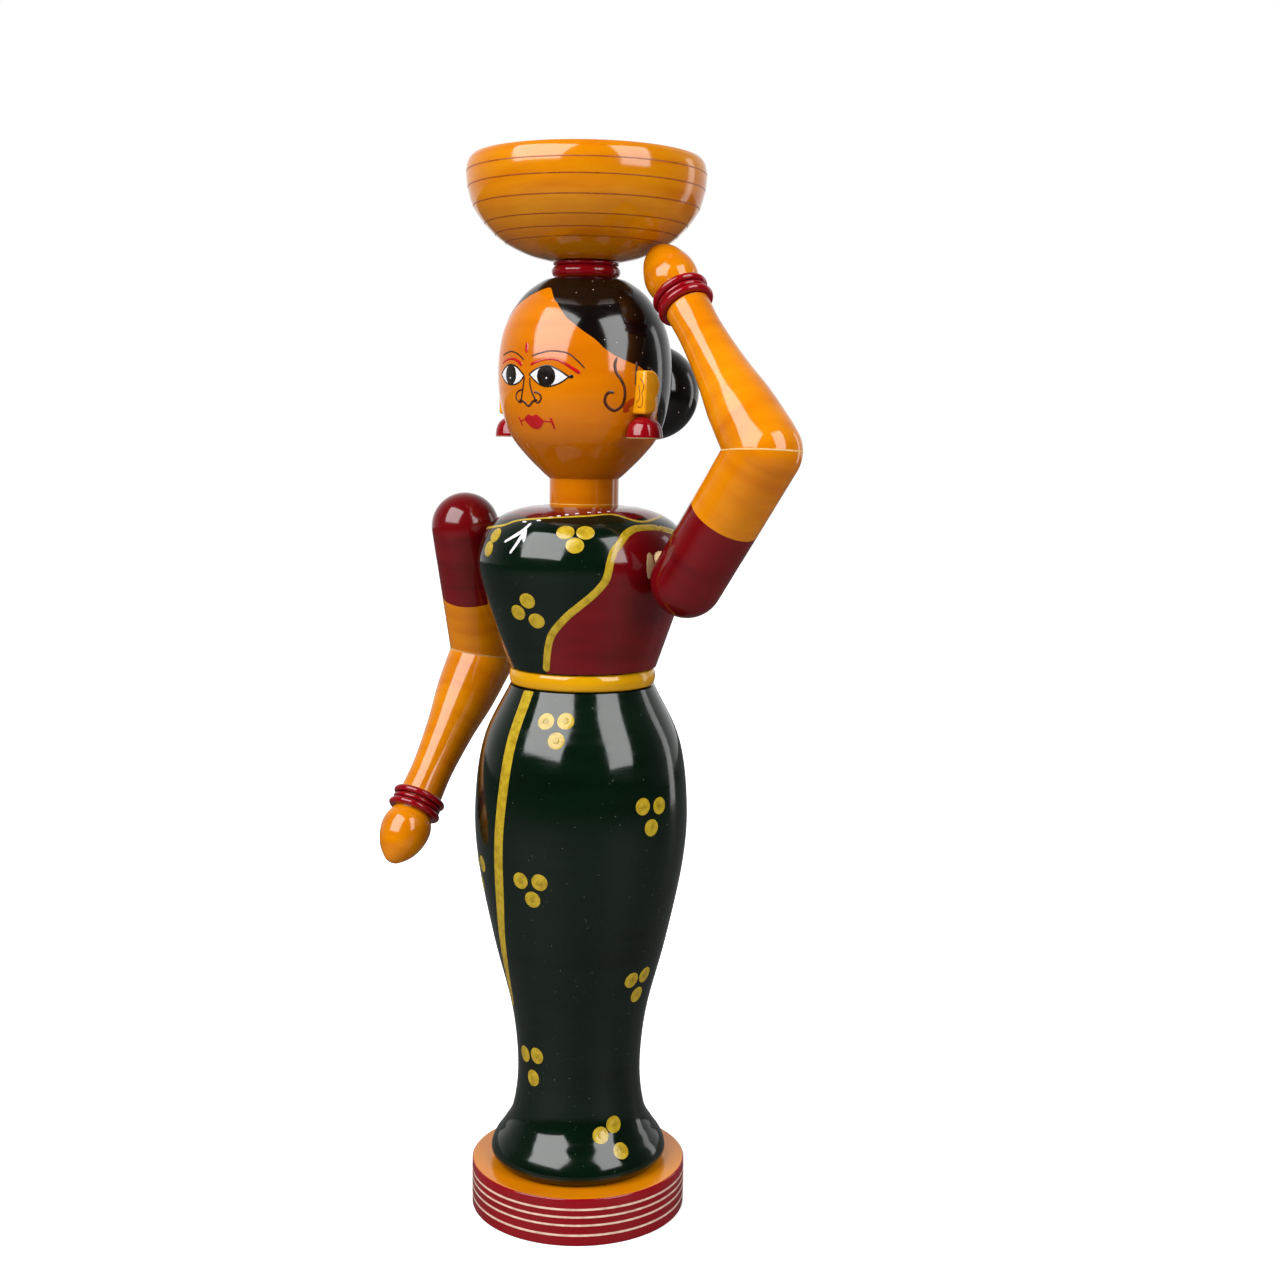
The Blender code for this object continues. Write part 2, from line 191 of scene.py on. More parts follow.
class Paint:
    """One colour of paint on one body, gathered into a single mesh of thin closed shells."""

    def __init__(self, surface, coat=1):
        self.surface = surface
        self.lift = COAT * coat
        self.shape = bmesh.new()

    def stroke(self, points, width, taper=(0.5, 0.5), swell=(1, 1, 1), steps=6):
        """Brush stroke through (angle, height) points; its ends narrow over taper times its width,
        and swell gives its share of the width at even places along it."""
        side = self.surface
        flat = [(angle, side.along(height)) for angle, height in curve(points, steps)]
        middle = [np.array((radians(a) * side.radius(s), s)) for a, s in flat]
        steps_along = [np.linalg.norm(b - a) for a, b in zip(middle, middle[1:])]
        lengths = np.concatenate([[0], np.cumsum(steps_along)])
        marks = self.marks(lengths[-1], width, taper)
        angles = np.interp(marks, lengths, [a for a, _ in flat])
        places = np.interp(marks, lengths, [s for _, s in flat])
        loops = []
        for i, mark in enumerate(marks):
            before, after = max(i - 1, 0), min(i + 1, len(marks) - 1)
            radius = side.radius(places[i])
            ahead = np.array((radians(angles[after] - angles[before]) * radius,
                              places[after] - places[before]))
            ahead = ahead / max(np.linalg.norm(ahead), 1e-9)
            half = width / 2 * self.narrowing(mark, lengths[-1], width, taper)
            half *= np.interp(mark / lengths[-1], np.linspace(0, 1, len(swell)), swell)
            across = np.array((-ahead[1], ahead[0])) * half
            loops.append([self.off(angles[i], places[i], radius, across * share, lift)
                          for share, lift in self.section()])
        tube(self.shape, loops)

    def section(self):
        """Cross-section of a stroke: (share of the half width, lift)."""
        top = self.lift
        return [(-1, SUNK), (-0.97, top * 0.3), (-0.72, top * 0.85), (0, top), (0.72, top * 0.85),
                (0.97, top * 0.3), (1, SUNK)]

    def off(self, angle, along, radius, across, lift):
        """Surface point moved sideways in the plane of the surface."""
        turn = np.degrees(across[0] / radius)
        return self.surface.point(angle + turn, along + across[1], lift)

    @staticmethod
    def marks(length, width, taper):
        """Places along a stroke: close together at its round ends, about 0.7 mm apart between."""
        start, stop = width * taper[0], width * taper[1]
        ends = [0.0, 0.03, 0.12, 0.3, 0.6]
        middle = max(int((length - start - stop) / 0.7), 2)
        marks = [start * e for e in ends]
        marks += list(np.linspace(start, max(length - stop, start + 0.01), middle))
        return marks + [length - stop * e for e in reversed(ends)]

    @staticmethod
    def narrowing(mark, length, width, taper):
        """Share of the full width, following a quarter ellipse at each end."""
        share = 1.0
        for distance, end in ((mark, width * taper[0]), (length - mark, width * taper[1])):
            if distance < end:
                share = min(share, sqrt(max(1 - (1 - distance / end) ** 2, 0.0008)))
        return share

    def dot(self, angle, height, wide, tall):
        """Domed drop of paint; wide and tall are half sizes in mm."""
        along = self.surface.along(height)
        radius = self.surface.radius(along)
        rings = ((1, SUNK / self.lift), (0.98, 0.3), (0.88, 0.75), (0.6, 1), (0.1, 1.05))
        loops = []
        for size, high in rings:
            turns = [2 * pi * i / 28 for i in range(28)]
            loops.append([self.off(angle, along, radius, (wide * size * cos(t), tall * size * sin(t)),
                                   high * self.lift) for t in turns])
        tube(self.shape, loops)

    def patch(self, start, stop, lower, upper, columns=48, rows=8, closed=False):
        """Coat between two lines, each a function from angle to height."""
        loops = []
        count = columns if closed else columns + 1
        for i in range(count):
            angle = start + (stop - start) * i / columns
            low, high = self.surface.along(lower(angle)), self.surface.along(upper(angle))
            places = np.linspace(low, max(high, low + 0.02), rows)
            top = [self.surface.point(angle, s, self.lift) for s in places]
            under = [self.surface.point(angle, s, SUNK) for s in reversed(places)]
            loops.append(top + under)
        tube(self.shape, loops, closed)

    def band(self, height, half, lift=1.0):
        """Line turned right round the piece."""
        along = self.surface.along(height)
        edge = [(-half, SUNK), (-half * 0.9, self.lift * 0.6 * lift), (0, self.lift * lift),
                (half * 0.9, self.lift * 0.6 * lift), (half, SUNK)]
        loops = [[self.surface.point(360 * i / FINE, along + s, high) for s, high in edge]
                 for i in range(FINE)]
        tube(self.shape, loops, closed=True)

    def make(self, name, look, body, slot=None, where=None):
        bmesh.ops.recalc_face_normals(self.shape, faces=self.shape.faces)
        return piece(name, self.shape, look, body, where=where, smooth=40)


def through(points):
    """Height as a smooth function of angle through (angle, height) points."""
    line = sorted(curve(points, 6))
    angles = [a for a, _ in line]
    heights = [h for _, h in line]
    return lambda angle: float(np.interp(angle, angles, heights))


# ---------------------------------------------------------------- materials

def linear(*colour):
    """Display colour, 0 to 255, as linear light."""
    shares = [c / 255 for c in colour]
    return [c / 12.92 if c <= 0.04045 else ((c + 0.055) / 1.055) ** 2.4 for c in shares]


def noise(tree, place, stretch, scale, detail=3, roughness=0.55):
    """Noise over the piece's own coordinates, stretched by a vector."""
    mapping = tree.nodes.new("ShaderNodeMapping")
    mapping.inputs["Scale"].default_value = stretch
    texture = tree.nodes.new("ShaderNodeTexNoise")
    texture.inputs["Scale"].default_value = scale
    texture.inputs["Detail"].default_value = detail
    texture.inputs["Roughness"].default_value = roughness
    tree.links.new(place.outputs["Object"], mapping.inputs["Vector"])
    tree.links.new(mapping.outputs["Vector"], texture.inputs["Vector"])
    return texture.outputs["Fac"]


def ramp(tree, value, *stops):
    """Colour ramp with (place, colour) stops."""
    node = tree.nodes.new("ShaderNodeValToRGB")
    points = node.color_ramp.elements
    while len(points) < len(stops):
        points.new(0.5)
    for point, (place, colour) in zip(points, stops):
        point.position = place
        point.color = (*colour, 1)
    tree.links.new(value, node.inputs["Fac"])
    return node.outputs["Color"]


def blend(tree, share, under, over):
    """Mix of two colours by a share."""
    node = tree.nodes.new("ShaderNodeMix")
    node.data_type = "RGBA"
    for socket, value in ((node.inputs[0], share), (node.inputs[6], under), (node.inputs[7], over)):
        if isinstance(value, bpy.types.NodeSocket):
            tree.links.new(value, socket)
        else:
            socket.default_value = value
    return node.outputs[2]


def spread(tree, value, low, high, start=0.3, stop=0.7):
    """Value spread from one range to another."""
    node = tree.nodes.new("ShaderNodeMapRange")
    for socket, number in (("From Min", start), ("From Max", stop), ("To Min", low), ("To Max", high)):
        node.inputs[socket].default_value = number
    tree.links.new(value, node.inputs["Value"])
    return node.outputs["Result"]


def bumps(tree, *layers):
    """Chain of bumps, each (height, distance in metres, strength)."""
    normal = None
    for height, distance, strength in layers:
        node = tree.nodes.new("ShaderNodeBump")
        node.inputs["Distance"].default_value = distance
        node.inputs["Strength"].default_value = strength
        tree.links.new(height, node.inputs["Height"])
        if normal:
            tree.links.new(normal, node.inputs["Normal"])
        normal = node.outputs["Normal"]
    return normal


def specks(tree, place, scale, size):
    """Scattered small round flecks, 1 in a fleck and 0 elsewhere."""
    cells = tree.nodes.new("ShaderNodeTexVoronoi")
    cells.inputs["Scale"].default_value = scale
    tree.links.new(place.outputs["Object"], cells.inputs["Vector"])
    keep = noise(tree, place, (1, 1, 1), scale * 0.6, 1)
    spot = spread(tree, cells.outputs["Distance"], 1, 0, size * 0.5, size)
    chosen = spread(tree, keep, 0, 1, 0.6, 0.64)
    both = tree.nodes.new("ShaderNodeMath")
    both.operation = "MULTIPLY"
    tree.links.new(spot, both.inputs[0])
    tree.links.new(chosen, both.inputs[1])
    return both.outputs[0]


GLOSS = (0.063, 0.153)          # lacquer's least and greatest roughness


def lacquer(name, colour, deep, fleck=None, bright=None):
    """Stick lac melted onto spinning wood: glossy, with streaks and fine ridges round the axis."""
    material = bpy.data.materials.new(name)
    material.use_nodes = True
    tree = material.node_tree
    shader = tree.nodes["Principled BSDF"]
    place = tree.nodes.new("ShaderNodeTexCoord")
    streaks = noise(tree, place, (1, 1, 6), 24, 3, 0.5)
    clouds = noise(tree, place, (1, 1, 2), 30, 3)
    tone = ramp(tree, streaks, (0.25, deep), (0.52, colour), (0.8, bright or colour))
    tone = blend(tree, spread(tree, clouds, 0.0, 0.5, 0.42, 0.75), tone, (*deep, 1))
    if fleck:
        tone = blend(tree, specks(tree, place, 620, 0.16), tone, (*fleck, 1))
    tree.links.new(tone, shader.inputs["Base Color"])
    smear = noise(tree, place, (1, 1, 5), 60, 4)
    tree.links.new(spread(tree, smear, *GLOSS), shader.inputs["Roughness"])
    ridges = noise(tree, place, (0.15, 0.15, 1), 900, 2)
    peel = noise(tree, place, (1, 1, 1.6), 150, 2)
    shader.inputs["IOR"].default_value = 1.5
    normal = bumps(tree, (ridges, 0.00001, 0.35), (peel, 0.00007, 0.3))
    tree.links.new(normal, shader.inputs["Normal"])
    return material


def enamel(name, colour, deep, roughness=0.16):
    """Brushed paint: a little uneven in colour, with brush marks."""
    material = bpy.data.materials.new(name)
    material.use_nodes = True
    tree = material.node_tree
    shader = tree.nodes["Principled BSDF"]
    place = tree.nodes.new("ShaderNodeTexCoord")
    uneven = noise(tree, place, (1, 1, 1), 420, 4, 0.6)
    tree.links.new(ramp(tree, uneven, (0.32, deep), (0.58, colour)), shader.inputs["Base Color"])
    tree.links.new(spread(tree, uneven, roughness * 0.8, roughness * 1.5), shader.inputs["Roughness"])
    tree.links.new(bumps(tree, (uneven, 0.00003, 0.4)), shader.inputs["Normal"])
    return material


def bare_wood(name, pale, dark):
    """Close-grained white wood, unlacquered, with its grain along the piece."""
    material = bpy.data.materials.new(name)
    material.use_nodes = True
    tree = material.node_tree
    shader = tree.nodes["Principled BSDF"]
    place = tree.nodes.new("ShaderNodeTexCoord")
    grain = noise(tree, place, (1, 1, 0.06), 900, 4, 0.65)
    broad = noise(tree, place, (1, 1, 0.1), 160, 3)
    tone = blend(tree, 0.5, ramp(tree, grain, (0.35, dark), (0.62, pale)),
                 ramp(tree, broad, (0.35, dark), (0.6, pale)))
    tree.links.new(tone, shader.inputs["Base Color"])
    tree.links.new(spread(tree, grain, 0.5, 0.75), shader.inputs["Roughness"])
    tree.links.new(bumps(tree, (grain, 0.00008, 0.5)), shader.inputs["Normal"])
    return material


SKIN = lacquer("skin_lacquer", linear(200, 118, 2), linear(184, 98, 1), bright=linear(210, 132, 6))
# the head's copy of the skin lacquer, a little darker than on the arms and hands: painted shade on the same
# lacquer
SKIN_SHADED = lacquer("skin_lacquer_shaded", linear(188, 104, 1), linear(176, 90, 1), bright=linear(196, 112, 2))
EAR = lacquer("ear_lacquer", linear(216, 146, 16), linear(204, 128, 8), bright=linear(226, 166, 36))
GREEN = lacquer("green_lacquer", linear(5, 20, 9), linear(3, 13, 6), fleck=linear(70, 80, 66))
MAROON = lacquer("maroon_lacquer", linear(102, 6, 12), linear(84, 3, 8))
RED = lacquer("red_lacquer", linear(136, 4, 18), linear(114, 2, 12))
YELLOW = lacquer("yellow_lacquer", linear(202, 146, 5), linear(186, 126, 2))
BLACK = lacquer("black_lacquer", linear(14, 9, 7), linear(8, 5, 4), fleck=linear(190, 168, 148))
BOWL = lacquer("bowl_lacquer", linear(192, 116, 3), linear(174, 90, 1), bright=linear(200, 132, 9))
WOOD = bare_wood("bare_wood", linear(196, 170, 126), linear(160, 128, 84))
FILLER = bare_wood("elbow_filler", linear(216, 180, 118), linear(190, 146, 80))
PAINT_YELLOW = enamel("paint_yellow", linear(176, 148, 32), linear(146, 118, 20))
PAINT_OLIVE = enamel("paint_olive", linear(160, 134, 28), linear(130, 108, 18))
PAINT_WHITE = enamel("paint_white", linear(214, 210, 214), linear(196, 194, 200))
PAINT_BLACK = enamel("paint_black", linear(22, 16, 12), linear(14, 9, 6))
PAINT_BROWN = enamel("paint_brown", linear(66, 26, 6), linear(48, 17, 3), 0.3)
PAINT_LINE = enamel("paint_bowl_line", linear(142, 68, 4), linear(122, 52, 2), 0.3)
PAINT_RED = enamel("paint_red", linear(168, 14, 20), linear(150, 8, 12))
PAINT_STAIN = enamel("paint_red_stain", linear(150, 48, 4), linear(132, 36, 2))
PAINT_PALE_BAND = enamel("paint_pale_band", linear(214, 160, 78), linear(196, 136, 50))
PAINT_CREAM = enamel("paint_cream", linear(226, 196, 176), linear(204, 166, 148))


# ---------------------------------------------------------------- body

def make_base():
    """Red disc with a lacquered top and pale lines painted round its edge."""
    radius, top, edge = 36.4, 16.2, 0.6
    foot = arc(edge, edge, -90, 0, 4, radius - edge)
    rim = arc(edge, top - edge, 0, 90, 4, radius - edge)
    side = foot + rim
    outline = [(0, 0)] + side + [(radius - 1.2, top), (20, top), (0, top)]
    shape = spun(outline)
    for face in shape.faces:
        if face.calc_center_median().z > (top - 0.1) * MM:
            face.material_index = 1
    piece("base_disc_turned", shape, (RED, SKIN), "body", ["base_disc"])
    lines = Paint(Side([(radius, 1.0), (radius, 8.0), (radius, top - 1.0)]))
    for height, half in ((12.6, 0.38), (10.0, 0.36), (7.2, 0.36), (3.8, 0.38)):
        lines.band(height, half)
    lines.make("base_lines", PAINT_CREAM, "body")


SKIRT = curve([(28.0, 16.9), (29.3, 18.3), (29.9, 20.1), (28.6, 23.7), (25.7, 27.9), (22.4, 34.5),
               (20.9, 49.0), (22.9, 69.0), (29.2, 94.0), (34.6, 121.0), (35.6, 141.0), (32.7, 162.0),
               (24.1, 180.2)])
TORSO = curve([(24.5, 186.5), (28.3, 197.5), (32.3, 209.5), (34.8, 220.0), (34.0, 227.0),
               (31.8, 232.0), (28.0, 235.6), (22.5, 238.0), (17.5, 239.2)]) + [(12.5, 239.5)]
HEAD = curve([(13.2, 250.0), (19.2, 256.0), (24.2, 262.5), (27.2, 271.0), (28.4, 281.0),
              (27.6, 292.0), (25.0, 300.0), (20.0, 307.5), (14.0, 312.0), (10.6, 313.0)])
BOWL_OUTER = curve([(11.5, 318.6), (18.3, 320.3), (26.2, 324.0), (32.2, 329.2), (36.4, 335.0),
                    (38.3, 341.0), (38.8, 346.0), (38.2, 349.4), (37.0, 351.0)])

# trios of dots on the skirt: places of the three dots
SKIRT_DOTS = (
    ((17, 171.7), (30.2, 172.1), (25.6, 166.1)),
    ((74.8, 144.8), (86.2, 144.2), (80.2, 137.5)),
    ((6.6, 120.1), (18.3, 120.4), (13.4, 114.2)),
    ((-29.3, 121.3), (-41, 121.0), (-38.7, 113.7)),
    ((80.4, 84.5), (93.9, 85), (89.8, 78.3)),
    ((-18.1, 55.8), (-0.9, 56.9), (-6.4, 48.6)),
    ((72.4, 34.4), (59.4, 31.8), (73.1, 26.6)),
)


def make_skirt():
    hem, top = 16.5, SKIRT[-1][1]
    outline = [(0, hem), (26.8, hem)] + SKIRT + [(0, top)]
    piece("skirt_turned", spun(outline), GREEN, "body", ["skirt"])
    side = Side(SKIRT)
    dots, centres = Paint(side), Paint(side, 2)
    hidden = [[(angle + 180, height) for angle, height in trio] for trio in SKIRT_DOTS]
    for trio in list(SKIRT_DOTS) + hidden:
        for angle, height in trio:
            dots.dot(angle, height, 2.85, 2.85)
            centres.dot(angle, height, 1.1, 1.1)
    dots.make("skirt_dots", PAINT_YELLOW, "body", "yellow_lacquer")
    centres.make("skirt_dot_centres", PAINT_OLIVE, "body")
    fold = Paint(side)
    fold.stroke([(-5.2, 180.1), (-4.4, 160), (-6.5, 139.5), (-11.2, 115), (-18.3, 98.6), (-22.6, 88.8),
                 (-29.5, 77), (-34, 71)], 4.7, (0.05, 0.5), (1, 0.95, 0.92, 1, 0.9, 0.6))
    fold.stroke([(-51, 178), (-51, 170), (-49, 163)], 1.2)
    fold.make("skirt_fold_line", PAINT_YELLOW, "body", "yellow_lacquer")


def make_belt():
    foot, top = 180.5, 186.2
    side = curve([(23.0, foot), (23.9, foot + 0.7), (24.3, (foot + top) / 2), (23.9, top - 0.7),
                  (23.0, top)])
    piece("waist_belt_turned", spun([(0, foot)] + side + [(0, top)]), YELLOW, "body",
          ["waist_belt"])


SARI_BORDER = [(93.2, 233.5), (83.6, 233.8), (72.6, 233.5), (65.2, 231.8), (60.7, 229.0), (56.9, 226.6),
               (54.6, 223.0), (53.7, 220.1), (52.0, 217.1), (46.9, 213.4), (39.2, 209.5), (32.6, 206.4),
               (26.2, 202.9), (20.7, 199.3), (16.9, 194.6), (12.8, 187.2)]


SARI_BACK = [(93.2, 233.5), (110, 231), (130, 224), (150, 212), (165, 199), (175, 188)]
NECKLINE = through([(-180, 237.4), (-120, 236), (-60, 232), (-20.1, 233.4), (-7.8, 235.3), (9.6, 236.3),
                    (24, 236.8), (43.2, 237.3), (65, 237.7), (81.1, 235.5), (110, 236.5), (180, 237.4)])


def make_torso():
    outline = [(0, TORSO[0][1])] + TORSO + [(0, TORSO[-1][1])]
    piece("torso_turned", spun(outline), GREEN, "body", ["torso"])
    side = Side(TORSO)
    blouse = Paint(side)
    waist, front_edge, shoulder, back_edge = 186.6, SARI_BORDER[-1][0], SARI_BORDER[0][0], SARI_BACK[-1][0]
    blouse.patch(front_edge, shoulder, lambda angle: waist, through(SARI_BORDER), 60, 24)
    blouse.patch(shoulder, back_edge, lambda angle: waist, through(SARI_BACK), 40, 24)
    blouse.patch(-180, 180, NECKLINE, lambda angle: 239.45, 120, 6, closed=True)
    blouse.make("torso_blouse", MAROON, "body", "maroon_lacquer")
    trim = Paint(side, 2)
    trim.stroke(SARI_BORDER, 2.6)
    trim.stroke(SARI_BACK, 2.6)
    trim.stroke([(angle, NECKLINE(angle)) for angle in range(-178, 181, 6)], 1.1)
    for trio in (((30.3, 232.5), (41.8, 232.5), (36.1, 228.5)),
                 ((7.9, 210.4), (-0.5, 206.3), (12.0, 204.0)),
                 ((-19.2, 230.5), (-22.2, 226.0))):
        for angle, height in trio:
            trim.dot(angle, height, 2.95, 2.6)
    trim.make("sari_trim", PAINT_YELLOW, "body", "yellow_lacquer")
    white = Paint(side, 2)
    for angle, height in ((-0.2, 235.1), (10, 235.7), (17, 236.7), (22.3, 237.1), (27.9, 237.5),
                          (35.3, 237.9), (45.2, 238.2), (54, 238.3), (63.3, 238.5)):
        white.stroke([(angle - 1.6, height), (angle + 1.6, height + 0.05)], 0.8)
    white.stroke([(5.9, 234.8), (2.1, 232.0), (-7.8, 228.6)], 1.4, swell=(0.8, 1, 0.6))
    white.stroke([(5.1, 233), (2.5, 229), (-1.8, 225.2)], 1.3, swell=(1.1, 0.9, 0.7))
    white.stroke([(4.6, 233), (6.4, 229.0)], 1.6, swell=(0.7, 1.1, 0.5))
    white.make("necklace", PAINT_WHITE, "body")
    scar = Paint(side, 2)
    scar.dot(78, 222, 1.5, 4.5)
    scar.make("shoulder_scar", WOOD, "body", "bare_wood")


# ---------------------------------------------------------------- head

# lower edge of the hair, from the middle of the nape to above the ear
NAPE = [(180, 264), (130, 264.3), (111, 265.7), (102, 268.3), (99, 272), (96, 276.5), (90, 280),
        (84, 282.5)]
# and from above her right ear over the forehead, parted to one side, to above her left ear
PARTING = [(-76, 284.7), (-66, 288.5), (-55, 296), (-45, 300.4), (-36.4, 303.1), (-23.3, 305.7),
           (-10.4, 307.7), (4.2, 308.8), (14.8, 304.7), (19.2, 303.1), (26.9, 299.2), (33.1, 297.0),
           (38.4, 295.1), (47.6, 292.1), (53.0, 289.6), (61.3, 287.2), (70.2, 285.5), (76.1, 284.7)]
HAIRLINE = through([(-angle, height) for angle, height in NAPE] + PARTING + NAPE[::-1])

# eyes: inner and outer corner, upper lid, lower lid, then the iris's angles
EYES = {
    "near": ([(2.7, 281.4), (8.5, 283.1), (16.1, 284.1), (23.3, 282.9), (30.6, 280.6)],
             [(2.7, 281.4), (9.5, 278.6), (16.0, 277.6), (24.2, 278.6), (30.6, 280.6)],
             (9.6, 21.0), (15.7, 280.2)),
    "far": ([(-29.3, 281.7), (-22.5, 283.8), (-15.8, 284.6), (-8.5, 283.7), (-1.5, 281.0)],
            [(-29.3, 281.7), (-21.5, 279.0), (-13.4, 278.3), (-6.5, 279.0), (-1.5, 281.0)],
            (-20.6, -9.9), (-15.6, 280.4)),
}


def make_head():
    neck = [(0, 238.0), (11.4, 238.0), (11.4, 248.5)]
    outline = neck + HEAD + [(0, 313.0)]
    piece("head_turned", spun(outline), SKIN_SHADED, "head", ["head"])
    side = Side(HEAD)
    hair = Paint(side)
    hair.patch(-180, 180, HAIRLINE, lambda angle: 312.9, 240, 22, closed=True)
    hair.make("hair", BLACK, "head", "black_lacquer")
    # pale band painted round the foot of the neck, just above the torso
    pale_band = Paint(Side(neck[1:]))
    pale_band.band(240.3, 0.16, 0.5)
    pale_band.make("neck_pale_band", PAINT_PALE_BAND, "head")
    paint_eyes(side)
    paint_lines(side)


def paint_eyes(side):
    whites, irises, glints, lids = Paint(side), Paint(side, 2), Paint(side, 4), Paint(side, 3)
    for upper, lower, (start, stop), glint in EYES.values():
        top, bottom = through(upper), through(lower)
        whites.patch(upper[0][0], upper[-1][0], bottom, top, 36, 6)
        middle, half = (start + stop) / 2, (stop - start) / 2 + 0.8
        centre = (top(middle) + bottom(middle)) / 2
        tall = (top(middle) - bottom(middle)) / 2

        def arch(angle):
            return tall * sqrt(max(1 - ((angle - middle) / half) ** 2, 0))
        irises.patch(middle - half, middle + half, lambda a: max(centre - arch(a), bottom(a)),
                     lambda a: min(centre + arch(a), top(a)), 30, 6)
        glints.dot(*glint, 0.3, 0.3)
        lids.stroke(upper, 0.55)
        lids.stroke(lower, 0.5)
    lids.dot(32.0, 280.7, 0.8, 0.6)
    whites.make("eye_whites", PAINT_WHITE, "head")
    irises.make("eye_irises", PAINT_BLACK, "head")
    glints.make("eye_glints", PAINT_WHITE, "head")
    lids.make("eye_outlines", PAINT_BLACK, "head")


# curl of hair in front of the left ear; the right one is its mirror image
CURL = ((61.3, 286.9), (59.8, 284.7), (60.8, 282.1), (64.2, 280.0), (67.0, 277.2), (67.3, 273.9),
        (65.4, 271.7), (60.7, 270.4), (55.6, 271.7), (53.7, 273.6), (55.1, 275.6), (57.9, 276.1),
        (59.8, 275.8))


def paint_lines(side):
    """Brows, nose, lips, forehead mark and curls, and the lines where the hair meets the ears."""
    red = Paint(side, 2)
    red.stroke([(-0.4, 291.4), (-0.4, 288.1)], 1.4, (1, 1))
    red.stroke([(3.5, 284.3), (8.4, 285.3), (15.5, 286.0), (22.7, 285.8), (29.6, 284.2), (37.7, 281.7)],
               1.2, (1, 1), (0.9, 0.45, 0.5, 0.8, 1.1))
    red.stroke([(-3.8, 284.3), (-8.8, 285.8), (-14.4, 286.4), (-21.8, 286.1), (-27.6, 285.1)], 1.2,
               swell=(1.2, 0.7, 0.5, 0.7))
    top = through([(-6.4, 267.5), (-1.3, 268.9), (2.4, 268.5), (6.2, 268.9), (11.6, 266.9)])
    foot = through([(-6.4, 267.5), (-1.5, 265.2), (3.0, 264.4), (7.5, 264.9), (11.6, 266.9)])
    red.patch(-6.4, 11.6, foot, top, 30, 6)
    red.stroke([(-6.4, 267.2), (-10.5, 267.0)], 0.5)
    red.stroke([(-11.6, 268.3), (-9.7, 265.3)], 0.7)
    red.stroke([(11.6, 266.9), (17.1, 266.7)], 0.5)
    red.stroke([(16.9, 268.0), (18.9, 264.4)], 0.7)
    red.make("face_red_lines", PAINT_RED, "head")
    stain = Paint(side)
    stain.stroke([(66.5, 271.2), (71, 272.4), (76, 274.2)], 2.4, (1, 1))
    stain.stroke([(67, 270.2), (72, 270.8)], 1.4, (1, 1))
    stain.make("face_red_stain", PAINT_STAIN, "head")
    dark = Paint(side, 2)
    dark.stroke([(4.3, 287.1), (10.2, 287.9), (17.7, 288.6), (24.9, 288.4), (30.8, 287.6), (36.3, 285.4),
                 (40.7, 283.2)], 0.5, (1, 2))
    dark.stroke([(-2.1, 285.9), (-7.8, 287.7), (-15.1, 288.7), (-21.7, 288.4), (-27.4, 287.7)], 0.5)
    dark.stroke([(-1.5, 280.6), (-2.6, 278.2), (-4.2, 275.6), (-5.9, 273.4)], 0.65)
    dark.stroke([(3.0, 280.3), (3.3, 277.7), (4.7, 275.5), (6.6, 273.6)], 0.65)
    dark.stroke([(-6.7, 273.2), (-3.3, 272.9), (0.3, 271.5), (4.1, 272.9), (6.5, 273.4)], 0.8)
    dark.stroke([(-3.9, 276.7), (-8.2, 276.1), (-11.0, 274.5), (-9.0, 273.0), (-6.2, 272.7)], 0.65)
    dark.stroke([(5.9, 275.9), (9.7, 275.5), (11.3, 274.2), (9.1, 272.6), (6.9, 272.7)], 0.65)
    dark.dot(-6.6, 273.1, 0.7, 0.7)
    dark.dot(6.8, 273.3, 0.7, 0.7)
    for sign in (1, -1):
        dark.stroke([(sign * angle, height) for angle, height in CURL], 1.0, (2, 1))
        dark.stroke([(sign * 75.6, 285.8), (sign * 75.2, 282.5), (sign * 75.0, 278.5)], 0.9)
    dark.make("face_dark_lines", PAINT_BROWN, "head")


def make_head_ring():
    foot, top, radius, bead = 313.3, 318.3, 11.2, 1.9
    side = arc(bead, foot + bead, -88, 72, 14, radius - bead)
    small = arc(0.55, 317.7, -60, 75, 8, 10.15)
    outline = [(0, foot)] + side + small + [(9.6, top), (0, top)]
    piece("head_ring_turned", spun(outline), RED, "head", ["head_ring"])


def make_bowl():
    rim = arc(0.55, 350.75, 60, 150, 6, 36.0)
    inner = curve([(34.6, 349.0), (34.4, 342.0), (32.4, 336.0), (27.8, 330.2), (21.5, 326.2),
                   (15.0, 324.6)])
    outline = [(0, 318.6)] + BOWL_OUTER + rim[1:] + inner + [(0, 324.6)]
    piece("bowl_turned", spun(outline), BOWL, "head", ["bowl"])
    lines = Paint(Side(BOWL_OUTER))
    for height in (346.0, 341.1, 335.3, 329.9, 326.5, 323.9):
        lines.band(height, 0.22, 0.7)
    lines.make("bowl_lines", PAINT_LINE, "head")


def make_bun():
    radius, reach, height = 16.3, 35.0, 277.6
    outline = arc(radius, 0, -90, 90, 48)
    where = pose(heading(180) * reach + UP * height, heading(180))
    piece("hair_bun_turned", spun(outline, SMALL), BLACK, "head", ["hair_bun"], where)


EAR_ANGLE = 82                  # of the ears and the earrings, from the face


